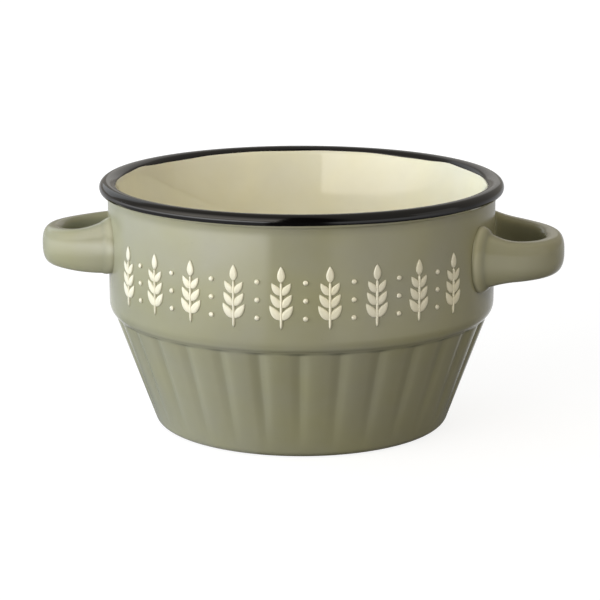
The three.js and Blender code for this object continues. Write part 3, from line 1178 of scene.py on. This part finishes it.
    def skin(self) -> Skin:
        """The glazed strap.

        The back limb flares less than the front one, or narrows a little. A tilt lifts the front limb and
        lowers the back one.

        Returns:
            A skin with a cap in each root, with how thin the glaze is, and painted light and shade, as its
            tone.
        """
        turn = np.linspace(0.0, 2 * np.pi, 64, endpoint=False)
        beyond = np.linspace(self.bead_width, self.root_length, 12)[1:]
        distance = np.concatenate([[-0.4], np.linspace(0.0, self.bead_width, 20), beyond])
        near = np.clip(1 - distance / self.root_length, 0.0, 1.0) ** 2
        bead = self.bead_at(distance)
        angle = np.broadcast_to(turn, (len(distance), len(turn)))
        gap = np.broadcast_to(distance[:, None], angle.shape)
        root_place = self.place_at(gap, angle)
        flares = (self.back_flare, 1.0)[:: self.side.value]
        root, other = (
            self.root(root_place, angle, gap, flare * near[:, None], bead[:, None]) for flare in flares
        )
        share = np.linspace(0.0, 1.0, 49)[1:-1, None]
        limb_place = root_place[-1][None, :] * (1 - 2 * share)
        limb = self.section(limb_place, np.broadcast_to(turn, limb_place.shape))
        points = np.concatenate([root, limb, other[::-1] * (1.0, -1.0, 1.0)])
        far = np.concatenate([distance, np.full(len(limb), 99.0), distance[::-1]])[:, None]
        edge = self.edge_line.at(np.abs(np.sin(turn)))[None, :] * smooth(far - self.bead_width)
        # Painted highlight along the bead, and painted shade where it meets the band and the strap.
        ring = self.bead_light_and_shade_strength * sum(line.at(far) for line in self.bead_painted_light_and_shade)
        # Painted shade on the strap's face towards the cup.
        inside = smooth(-2.5 * np.cos(turn) - 1.25)[None, :] * smooth((far - 1) / 4)
        thin = edge + ring - self.inside_painted_shade * inside
        points[..., :2] *= self.side.value
        points[..., 2] -= self.tilt * points[..., 1] / (self.span / 2)
        return Skin(points, False, {"thin": thin})

    def dress(self, finish: Finishes) -> None:
        """Puts the handle into the scene.

        Args:
            finish: the cup's materials.
        """
        name = self.side.name.lower()
        nodes = [f"{name}_handle_glaze", f"{name}_handle", f"{name}_front_slip", f"{name}_back_slip"]
        make_piece(f"{name}_strap_handle", [self.skin()], finish.green, nodes)


class Mark(Enum):
    """The kinds of stroke in the relief."""

    LEAF = "leaf"
    STEM = "stem"
    DOT = "dot"


@dataclass(frozen=True)
class Stroke:
    """One raised stroke of the relief: a leaf, a stem or a dot.

    Attributes:
        start: where it starts on the band, in millimetres right of the front and above the table.
        heading: which way it goes, in radians up from rightwards.
        length: how long it is.
        half_width: half its width where it is widest.
        curl: how far it turns on its way, in radians.
        kind: its outline.
    """

    start: Pair
    heading: float
    length: float
    half_width: float
    curl: float
    kind: Mark


@dataclass(frozen=True)
class Frieze:
    """A row of leaf sprigs and berries in cream relief on the front of the band.

    Attributes:
        cup: the cup that it is on.
        sprigs: how many there are.
        pitch: angle from one to the next, in degrees.
        foot: height at which they start, in millimetres like all the sizes.
        stem: length of a stem.
        stem_half: half the width of a stem.
        tip: length and half width of the leaf at the tip.
        leaf: length and half width of the lowest leaves.
        leaf_loss: how much shorter and narrower each pair is than the pair below it.
        leaf_heights: where on the stem the pairs start.
        leaf_lean: how far a leaf leans out, in radians.
        leaf_curl: how far it curls back, in radians.
        berry: radius of a berry.
        berry_heights: where the berries between two sprigs are.
        rise: how far the relief stands out.
        sunk: how far it reaches down into the glaze.
        vein: the groove along the middle of a leaf, by the cosine of the angle round it.
        bare: share of the rise from which the relief is all cream.
    """

    cup: Cup
    sprigs: int = 9
    pitch: float = 13.4
    foot: float = 44.5
    stem: float = 15.0
    stem_half: float = 0.42
    tip: Pair = (5.0, 1.25)
    leaf: Pair = (5.6, 1.3)
    leaf_loss: Pair = (0.5, 0.08)
    leaf_heights: tuple[float, ...] = (3.2, 7.0, 10.8)
    leaf_lean: float = 0.85
    leaf_curl: float = 0.35
    berry: float = 0.8
    berry_heights: tuple[float, ...] = (3.5, 9.0, 14.5)
    rise: float = 0.55
    sunk: float = 0.2
    vein: Bell = Bell(0.3, 0.0, 0.16)
    bare: float = 0.55

    def sprig(self, middle: float) -> list[Stroke]:
        """One upright sprig: a stem, leaves in pairs and a leaf at its tip.

        Args:
            middle: where it stands, in millimetres round the band from the front.

        Returns:
            Its strokes.
        """
        upright = math.pi / 2
        top = self.foot + self.stem - 0.5
        strokes = [
            Stroke((middle, self.foot), upright, self.stem, self.stem_half, 0.0, Mark.STEM),
            Stroke((middle, top), upright, *self.tip, 0.0, Mark.LEAF),
        ]
        for pair, height in enumerate(self.leaf_heights):
            start = (middle, self.foot + height)
            size = [first - loss * pair for first, loss in zip(self.leaf, self.leaf_loss)]
            for side in (1, -1):
                heading = upright - side * self.leaf_lean
                strokes.append(Stroke(start, heading, *size, side * self.leaf_curl, Mark.LEAF))
        return strokes

    def strokes(self) -> list[Stroke]:
        """Every stroke of the row, with berries between two sprigs.

        Returns:
            The strokes.
        """
        step = math.radians(self.pitch) * self.cup.band_radius
        made = []
        for place in range(self.sprigs):
            middle = (place - (self.sprigs - 1) / 2) * step
            made += self.sprig(middle)
            if place < self.sprigs - 1:
                for height in self.berry_heights:
                    start = (middle + step / 2 - self.berry, self.foot + height)
                    made.append(Stroke(start, 0.0, 2 * self.berry, self.berry, 0.0, Mark.DOT))
        return made

    def skin(self, stroke: Stroke) -> Skin:
        """A stroke wrapped onto the band, domed on top and sunk a little into the glaze below.

        Its middle line turns evenly. Its width follows its outline, which is a power of a sine for a leaf,
        a bar with rounded ends for a stem and a half circle for a dot, and its dome is a power of the sine
        round it.

        Args:
            stroke: the stroke.

        Returns:
            A skin with a cap at both ends, with how bare of green the relief is as its tone.
        """
        share = np.linspace(0.0, 1.0, 18)[:, None]
        turn = np.linspace(0.0, 2 * np.pi, 18, endpoint=False)[None, :]
        outline = {
            Mark.LEAF: np.sin(np.pi * share**0.75) ** 0.8,
            Mark.STEM: np.clip(np.minimum(share, 1 - share) * 12, 0.0, 1.0) ** 0.5,
            Mark.DOT: np.sqrt(np.clip(1 - (2 * share - 1) ** 2, 0.0, 1.0)),
        }[stroke.kind]
        outline = np.maximum(outline, 0.03)
        heading = stroke.heading + stroke.curl * share / 2
        side = stroke.heading + stroke.curl * share + np.pi / 2
        across = stroke.half_width * outline * np.cos(turn)
        right = stroke.start[0] + stroke.length * share * np.cos(heading) + across * np.cos(side)
        up = stroke.start[1] + stroke.length * share * np.sin(heading) + across * np.sin(side)
        dome = np.clip(np.sin(turn), 0.0, 1.0) ** 0.8
        vein = self.vein.at(np.cos(turn)) if stroke.kind is Mark.LEAF else 0.0
        lift = self.rise * outline**0.5 * dome * (1 - vein)
        radius = self.cup.band_radius + np.where(np.sin(turn) > 0, lift, -self.sunk)
        angle = right / self.cup.band_radius
        points = np.stack([radius * np.sin(angle), -radius * np.cos(angle), up], axis=-1)
        return Skin(points, False, {"thin": smooth(lift / (self.bare * self.rise))})

    def dress(self, finish: Finishes) -> None:
        """Puts the relief into the scene."""
        skins = [self.skin(stroke) for stroke in self.strokes()]
        make_piece("band_relief", skins, finish.relief, [])


class Reach(Enum):
    """What a lamp lights: everything, or the plain shading alone, so that the glaze doesn't mirror it."""

    ALL = "all"
    PLAIN = "plain"


@dataclass(frozen=True)
class Lamp:
    """A soft lamp.

    Attributes:
        name: what it is called.
        azimuth: where it is, in degrees right of the front.
        elevation: how high it is, in degrees.
        size: its width and height, in metres.
        glow: its power in watts a square metre.
        reach: what it lights.
        tint: its colour, as written sRGB.
        distance: how far from the cup it is, in metres.
    """

    name: str
    azimuth: float
    elevation: float
    size: Pair
    glow: float
    reach: Reach = Reach.ALL
    tint: str = "ffffff"
    distance: float = 1.0


@dataclass(frozen=True)
class SoftBox:
    """The broad soft box, left of the camera, that the glaze mirrors in the surround.

    Attributes:
        strength: how bright it is.
        right: directions, in degrees right of the front, between which it ends on the right.
        left: directions between which it fades out on the left.
        low: its lower edge as an elevation: a level, a slope and a bend over the direction, in radians.
        edge: half the softness of that edge, in radians.
        sweep: elevations, in degrees, between which the bright sweep below it ends.
        top: elevations, in degrees, between which it fades out upwards.
    """

    strength: float = 2.4
    right: Pair = (-8.6, -7.0)
    left: Pair = (-110.0, -60.0)
    low: Triple = (0.2229, 0.0145, -0.0402)
    edge: float = 0.0004
    sweep: Pair = (5.0, 7.0)
    top: Pair = (25.0, 75.0)

    def glow(self, bench: NodeBench, turn: Socket, lift: Socket) -> Socket:
        """Its strength in a direction.

        It is full above the lower edge and in the sweep far below it, and fades out to the sides and
        upwards.

        Args:
            bench: the tree that it is built in.
            turn: the direction, in radians right of the front.
            lift: the elevation, in radians.

        Returns:
            The socket that holds the strength.
        """
        curve = bench.math("MULTIPLY_ADD", turn, self.low[2], self.low[1])
        over = bench.math("SUBTRACT", lift, bench.math("MULTIPLY_ADD", curve, turn, self.low[0]))
        glow = bench.ramp(over, -self.edge, self.edge, 0.0, self.strength)
        glow = bench.math("MAXIMUM", glow, bench.between(lift, self.sweep, self.strength, 0.0))
        right = bench.between(turn, self.right, 1.0, 0.0)
        left = bench.between(turn, self.left, 0.0, 1.0)
        return bench.product(glow, right, left, bench.between(lift, self.top, 1.0, 0.0))


@dataclass(frozen=True)
class Sheen:
    """The bright part of the sweep that the glaze mirrors in the floor, left of the camera.

    Attributes:
        near: its strength beside the cup.
        far: its strength farther out.
        run: distances from the cup, in metres, between which it goes from one to the other.
        right: directions, in degrees right of the front, between which it ends on the right.
        dim: directions between which it gets weaker before that.
        dim_share: share of the strength that is left then.
        left: directions between which it fades out on the left.
        rest: strengths of the rest of the floor, beside the cup and farther out.
        front: strength of the floor in front, between the sheen and the right.
        side: strength that is added on the right.
        side_start: directions between which that starts.
        side_end: directions between which it ends again.
        side_run: distances between which it starts.
        back: strengths that are added behind the cup, beside it and farther out.
        back_start: directions between which that starts, to either side.
        back_left: how much stronger it is on the left, as a share.
    """

    near: float = 0.3
    far: float = 4.0
    run: Pair = (0.25, 0.42)
    right: Pair = (-12.5, -10.5)
    dim: Pair = (-32.0, -12.0)
    dim_share: float = 0.7
    left: Pair = (-125.0, -45.0)
    rest: Pair = (0.12, 0.3)
    front: float = 0.04
    side: float = 0.7
    side_start: Pair = (17.0, 24.0)
    side_end: Pair = (60.0, 110.0)
    side_run: Pair = (0.12, 0.25)
    back: Pair = (0.85, 0.2)
    back_start: Pair = (105.0, 145.0)
    back_left: float = 0.6

    def strength(self, bench: NodeBench) -> Socket:
        """Its strength over the floor, from the direction and the distance of each place.

        Args:
            bench: the tree that it is built in.

        Returns:
            The socket that holds the strength.
        """
        place = bench.place()
        turn, _ = bench.turn(place)
        away = bench.away(place)
        glow = bench.product(
            bench.ramp(away, *self.run, self.near, self.far),
            bench.between(turn, self.right, 1.0, 0.0),
            bench.between(turn, self.dim, 1.0, self.dim_share),
            bench.between(turn, self.left, 0.0, 1.0),
        )
        side = bench.product(
            bench.between(turn, self.side_start, 0.0, self.side),
            bench.between(turn, self.side_end, 1.0, 0.0),
            bench.ramp(away, *self.side_run, 0.0, 1.0),
        )
        behind = bench.ramp(away, *self.side_run, *self.back)
        back = bench.between(bench.math("ABSOLUTE", turn), self.back_start, 0.0, behind)
        leftwards = bench.math("MAXIMUM", bench.math("SINE", bench.math("MULTIPLY", turn, -1.0)), 0.0)
        back = bench.product(back, bench.math("MULTIPLY_ADD", leftwards, self.back_left, 1.0))
        after = bench.between(turn, self.right, 0.0, 1.0)
        shade = bench.product(after, bench.between(turn, self.side_start, 1.0, 0.0))
        rest = bench.ramp(shade, 0.0, 1.0, bench.ramp(away, *self.side_run, *self.rest), self.front)
        return bench.math("ADD", bench.math("ADD", glow, side), bench.math("ADD", back, rest))


@dataclass(frozen=True)
class Studio:
    """A white sweep, soft lamps and the camera of the photo.

    Attributes:
        azimuth: where the camera is, in degrees right of the front.
        elevation: how high it is, in degrees.
        distance: from the camera to its target, in metres.
        target: height of the target.
        lens: the camera's focal length, in millimetres.
        sensor: the width of its sensor, in millimetres.
        shift: how far its picture is shifted.
        world: strength of the surround's light on the cup.
        world_tint: its colour, as written sRGB.
        mirrored: strength of the surround in what the glaze mirrors.
        front: the dark part of that: its middle, and how far from it the dark and the fade end, in degrees.
        front_mirrored: strength in the dark part.
        floor: brightness of the floor's paint.
        floor_glow: strength of the floor for the camera, beside the cup and farther out.
        floor_run: distances from the cup between which it goes from one to the other.
        floor_level: height of the floor, just under the foot.
        floor_half: half the length of its sides.
        sheen: what the glaze mirrors in the floor.
        box: the soft box that it mirrors in the surround.
        lamps: the lamps round the cup.
    """

    azimuth: float = 5.6
    elevation: float = 13.24
    distance: float = 0.71314
    target: float = 0.03852
    lens: float = 130.78
    sensor: float = 36.0
    shift: Pair = (-0.0027, 0.0034)
    world: float = 0.3
    world_tint: str = "fff8ec"
    mirrored: float = 0.35
    front: Triple = (7.0, 17.0, 32.0)
    front_mirrored: float = 0.01
    floor: float = 0.3
    floor_glow: Pair = (0.82, 1.0)
    floor_run: Pair = (0.4, 1.2)
    floor_level: float = -0.00002
    floor_half: float = 6.0
    sheen: Sheen = Sheen()
    box: SoftBox = SoftBox()
    lamps: tuple[Lamp, ...] = (
        Lamp("key_right", -18.0, 25.6, (0.281, 0.389), 8.0, Reach.PLAIN),
        Lamp("key_middle", -38.0, 24.4, (0.425, 0.389), 13.9, Reach.PLAIN),
        Lamp("key_left", -62.0, 22.3, (0.425, 0.389), 8.6, Reach.PLAIN),
        Lamp("low_left", -56.0, 6.0, (0.9, 0.21), 4.8, Reach.PLAIN, "eaf4ff"),
        Lamp("right", 85.0, 15.0, (0.54, 0.54), 0.9),
        Lamp("back", 180.0, 25.0, (0.54, 0.54), 1.0),
        Lamp("left", -140.0, 25.0, (0.54, 0.54), 1.5, Reach.ALL, "eaf4ff"),
        Lamp("fill_front", -40.0, 6.0, (0.93, 0.25), 10.9, Reach.PLAIN),
        Lamp("fill_left", -90.0, 10.0, (0.93, 0.35), 13.4, Reach.PLAIN, "d8e9ff"),
        Lamp("fill_edge", -125.0, 8.0, (0.6, 0.27), 24.0, Reach.PLAIN, "c4ddff"),
        Lamp("fill_back", 180.0, 20.0, (0.93, 0.54), 3.6, Reach.PLAIN),
        Lamp("fill_right", 50.0, 30.0, (0.93, 0.54), 4.2, Reach.PLAIN, "fff4dc"),
    )

    @staticmethod
    def towards(azimuth: float, elevation: float) -> Vector:
        """A direction out from the cup.

        Args:
            azimuth: degrees right of the front.
            elevation: degrees up.

        Returns:
            The direction, of length 1.
        """
        turn, lift = math.radians(azimuth), math.radians(elevation)
        flat = math.cos(lift)
        return Vector((math.sin(turn) * flat, -math.cos(turn) * flat, math.sin(lift)))

    def build_camera(self) -> None:
        """Places the camera that took the photo."""
        data = bpy.data.cameras.new("camera")
        data.lens = self.lens
        data.sensor_width = self.sensor
        data.shift_x, data.shift_y = self.shift
        camera = bpy.data.objects.new("camera", data)
        away = self.towards(self.azimuth, self.elevation)
        camera.location = Vector((0.0, 0.0, self.target)) + away * self.distance
        camera.rotation_euler = away.to_track_quat("Z", "Y").to_euler()
        bpy.context.scene.collection.objects.link(camera)
        bpy.context.scene.camera = camera

    def build_lamps(self) -> None:
        """Places the lamps."""
        for lamp in self.lamps:
            data = bpy.data.lights.new(lamp.name, "AREA")
            data.shape = "RECTANGLE"
            data.size, data.size_y = lamp.size
            data.energy = lamp.glow * lamp.size[0] * lamp.size[1]
            data.color = linear(lamp.tint)[:3]
            holder = bpy.data.objects.new(lamp.name, data)
            holder.visible_camera = False
            away = self.towards(lamp.azimuth, lamp.elevation)
            holder.visible_glossy = lamp.reach is Reach.ALL
            holder.location = Vector((0.0, 0.0, self.target)) + away * lamp.distance
            holder.rotation_euler = away.to_track_quat("Z", "Y").to_euler()
            bpy.context.scene.collection.objects.link(holder)

    @staticmethod
    def seen(bench: NodeBench, plain: float, mirrored: object, white: object) -> Socket:
        """A strength by the kind of ray.

        Args:
            bench: the tree that it is built in.
            plain: for light that falls on the cup.
            mirrored: for what the glaze mirrors or a clear piece lets through, as a number or a socket.
            white: for the camera, as a number or a socket.

        Returns:
            The socket that holds the strength.
        """
        path = bench.add("ShaderNodeLightPath").outputs
        both = bench.math("MAXIMUM", path["Is Glossy Ray"], path["Is Transmission Ray"])
        strength = bench.ramp(both, 0.0, 1.0, plain, mirrored)
        return bench.math("MAXIMUM", strength, bench.math("MULTIPLY", path["Is Camera Ray"], white))

    def build_world(self) -> None:
        """A white surround for the camera that lights the cup more dimly.

        What the glaze mirrors of it is dark round the camera itself and holds the soft box.
        The dark part is told by how far a direction is, in degrees round the axis, from its middle.
        """
        world = bpy.data.worlds.new("studio")
        bpy.context.scene.world = world
        world.use_nodes = True
        world.node_tree.nodes.clear()
        bench = NodeBench(world.node_tree)
        turn, up = bench.turn(bench.add("ShaderNodeTexCoord").outputs["Generated"])
        middle, dark, light = map(math.radians, self.front)
        off = bench.math("ABSOLUTE", bench.math("SUBTRACT", turn, middle))
        mirrored = bench.ramp(off, dark, light, self.front_mirrored, self.mirrored)
        box = self.box.glow(bench, turn, bench.math("ARCSINE", up))
        strength = self.seen(bench, self.world, bench.math("MAXIMUM", mirrored, box), 1.0)
        path = bench.add("ShaderNodeLightPath").outputs["Is Camera Ray"]
        colour = bench.mix(path, linear(self.world_tint), (1.0, 1.0, 1.0, 1.0))
        light = bench.add("ShaderNodeBackground", {"Color": colour, "Strength": strength})
        bench.add("ShaderNodeOutputWorld", {"Surface": light.outputs[0]})

    def build_floor(self) -> None:
        """A white floor that keeps the cup's soft shadow."""
        mesh = bpy.data.meshes.new("floor")
        far, level = self.floor_half, self.floor_level
        corners = [(-far, -far, level), (far, -far, level), (far, far, level), (-far, far, level)]
        mesh.from_pydata(corners, [], [(0, 1, 2, 3)])
        floor = bpy.data.objects.new("floor", mesh)
        bpy.context.scene.collection.objects.link(floor)
        made, bench = new_material("floor")
        white = bench.ramp(bench.away(bench.place()), *self.floor_run, *self.floor_glow)
        glow = self.seen(bench, 0.0, self.sheen.strength(bench), white)
        shade = self.seen(bench, self.floor, 0.0, self.floor)
        inputs = {"Base Color": shade, "Roughness": 1.0, "Specular IOR Level": 0.0}
        inputs |= {"Emission Color": (1.0, 1.0, 1.0, 1.0), "Emission Strength": glow}
        shader = bench.add("ShaderNodeBsdfPrincipled", inputs)
        bench.add("ShaderNodeOutputMaterial", {"Surface": shader.outputs[0]})
        mesh.materials.append(made)

    def build(self) -> None:
        """Sets up the whole studio."""
        bpy.context.scene.view_settings.view_transform = "Standard"
        self.build_world()
        self.build_floor()
        self.build_lamps()
        self.build_camera()


def main() -> None:
    """Builds the cup and its studio."""
    logging.basicConfig(level=logging.INFO, format="%(name)s %(message)s")
    finish = Finishes.mixed()
    cup = Cup()
    cup.dress(finish)
    Handle(Side.RIGHT, cup, rise=1.7, gain=4.2).dress(finish)
    left = Handle(
        Side.LEFT,
        cup,
        span=40.5,
        strap=12.4,
        rise=0.6,
        gain=4.6,
        root_power=1.5,
        tilt=0.7,
        root_wide=1.5,
        root_low=-0.95,
        root_length=12.0,
        back_flare=-0.25,
        bead=0.3,
        bead_light_and_shade_strength=0.35,
    )
    left.dress(finish)
    Frieze(cup).dress(finish)
    Studio().build()
    bpy.context.view_layer.update()


if __name__ == "__main__":
    main()
